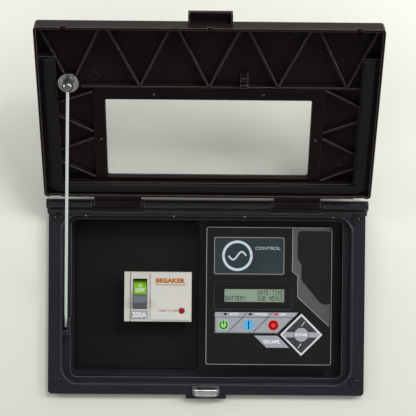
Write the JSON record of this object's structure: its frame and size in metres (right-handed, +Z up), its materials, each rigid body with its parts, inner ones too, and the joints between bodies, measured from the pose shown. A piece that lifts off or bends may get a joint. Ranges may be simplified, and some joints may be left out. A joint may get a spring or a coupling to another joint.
{
  "type": "generator control panel enclosure",
  "caption": "Flanged wall enclosure with a windowed flip-up lid on a prop rod, over a breaker and a keypad controller with a display.",
  "frame": {"origin": "centre of the four flange screws, on the flange's back plane", "axes": "+Z up, -Y out of the front face, +X to the right as seen from the front"},
  "size_m": [0.4154, 0.241, 0.4845],
  "materials": {
    "black_moulding": "fine textured black moulded plastic",
    "lid_moulding": "fine textured black moulded plastic",
    "foam": "black closed-cell foam",
    "black_screw": "black zinc",
    "steel": "bright zinc",
    "zinc_rod": "pale zinc plated wire",
    "stainless": "polished stainless",
    "plate_black": "matt warm black powder coat",
    "breaker_grey": "light grey moulded plastic",
    "label_grey": "printed grey label",
    "flag_green": "printed green label",
    "lever_grey": "grey moulded plastic",
    "red_button": "red moulded plastic",
    "copper": "tinned copper",
    "control_black": "fine textured black plastic",
    "circuit_board": "green solder mask",
    "lcd_glass": "grey green display",
    "smoked_window": "smoked clear plastic",
    "soft_cover": "soft black rubber",
    "key_silver": "silver printed membrane",
    "key_dark": "dark printed membrane",
    "led_lens": "tinted lamp lens",
    "fuse_body": "fuse tube",
    "clear_pane": "clear polycarbonate"
  },
  "bodies": {
    "base": {"bezel_frame": "black_moulding", "flange_gasket": "foam", "corner_screws": "black_screw", "hinge_pins": "steel", "breaker_plate": "plate_black", "breaker_case": "breaker_grey", "breaker_front": "breaker_grey", "rating_label": "label_grey", "line_lugs": "copper", "lug_screws": "steel", "breaker_bracket": "steel", "bracket_screws": "steel", "controller_front": "control_black", "controller_back": "control_black", "controller_board": "circuit_board", "lcd_module": "lcd_glass", "lcd_lens": "lcd_glass", "badge_window": "smoked_window", "keypad_overlay": "key_silver", "access_cover": "soft_cover", "status_leds": "led_lens", "board_connectors": "control_black", "fuse_holder": "control_black", "fuse": "fuse_body", "controller_screws": "steel", "latch_bracket": "stainless", "latch_pin": "stainless"},
    "lid": {"lid_shell": "lid_moulding", "window_pane": "clear_pane", "window_frame": "lid_moulding", "window_rivets": "black_screw", "lid_gasket": "foam", "rod_washer": "steel", "rod_clip": "lid_moulding"},
    "prop": {"prop_rod": "zinc_rod", "rod_end": "steel"},
    "toggle": {"breaker_toggle": "lever_grey", "on_off_flag": "flag_green"},
    "trip": {"trip_button": "red_button"},
    "latch": {"latch_lever": "stainless"},
    "auto": {"auto_key": "key_silver"},
    "manual": {"manual_key": "key_silver"},
    "off": {"off_key": "key_silver"},
    "escape": {"escape_key": "key_silver"},
    "enter": {"enter_key": "key_silver"},
    "up": {"up_key": "key_dark"},
    "down": {"down_key": "key_dark"}
  },
  "joints": [
    {"name": "lid_hinge", "type": "hinge", "parent": "base", "child": "lid", "pos_m": [0, -0.016, 0.125], "axis": [1, 0, 0], "range_deg": [0, 148]},
    {"name": "rod_swing", "type": "hinge", "parent": "lid", "child": "prop", "pos_m": [-0.1706, -0.11507, 0.26827], "axis": [-0.427, 0.579, 0.6945], "range_deg": [0, 253]},
    {"name": "toggle_throw", "type": "hinge", "parent": "base", "child": "toggle", "pos_m": [-0.0871, 0.024, 0.007], "axis": [1, 0, 0], "range_deg": [-38, 0]},
    {"name": "trip_press", "type": "slide", "parent": "base", "child": "trip", "axis": [0, 1, 0], "range_m": [0, 0.0015], "stiffness_N_per_m": 1500},
    {"name": "latch_swing", "type": "hinge", "parent": "base", "child": "latch", "pos_m": [0, -0.0085, -0.118], "axis": [1, 0, 0], "range_deg": [-100, 0]},
    {"name": "auto_press", "type": "slide", "parent": "base", "child": "auto", "axis": [0, 1, 0], "range_m": [0, 0.0008], "stiffness_N_per_m": 1500},
    {"name": "manual_press", "type": "slide", "parent": "base", "child": "manual", "axis": [0, 1, 0], "range_m": [0, 0.0008], "stiffness_N_per_m": 1500},
    {"name": "off_press", "type": "slide", "parent": "base", "child": "off", "axis": [0, 1, 0], "range_m": [0, 0.0008], "stiffness_N_per_m": 1500},
    {"name": "escape_press", "type": "slide", "parent": "base", "child": "escape", "axis": [0, 1, 0], "range_m": [0, 0.0008], "stiffness_N_per_m": 1500},
    {"name": "enter_press", "type": "slide", "parent": "base", "child": "enter", "axis": [0, 1, 0], "range_m": [0, 0.0008], "stiffness_N_per_m": 1500},
    {"name": "up_press", "type": "slide", "parent": "base", "child": "up", "axis": [0, 1, 0], "range_m": [0, 0.0008], "stiffness_N_per_m": 1500},
    {"name": "down_press", "type": "slide", "parent": "base", "child": "down", "axis": [0, 1, 0], "range_m": [0, 0.0008], "stiffness_N_per_m": 1500}
  ],
  "couplings": [
    {"joint": "rod_swing", "follows": "lid_hinge", "ratio": 1.7088}
  ]
}
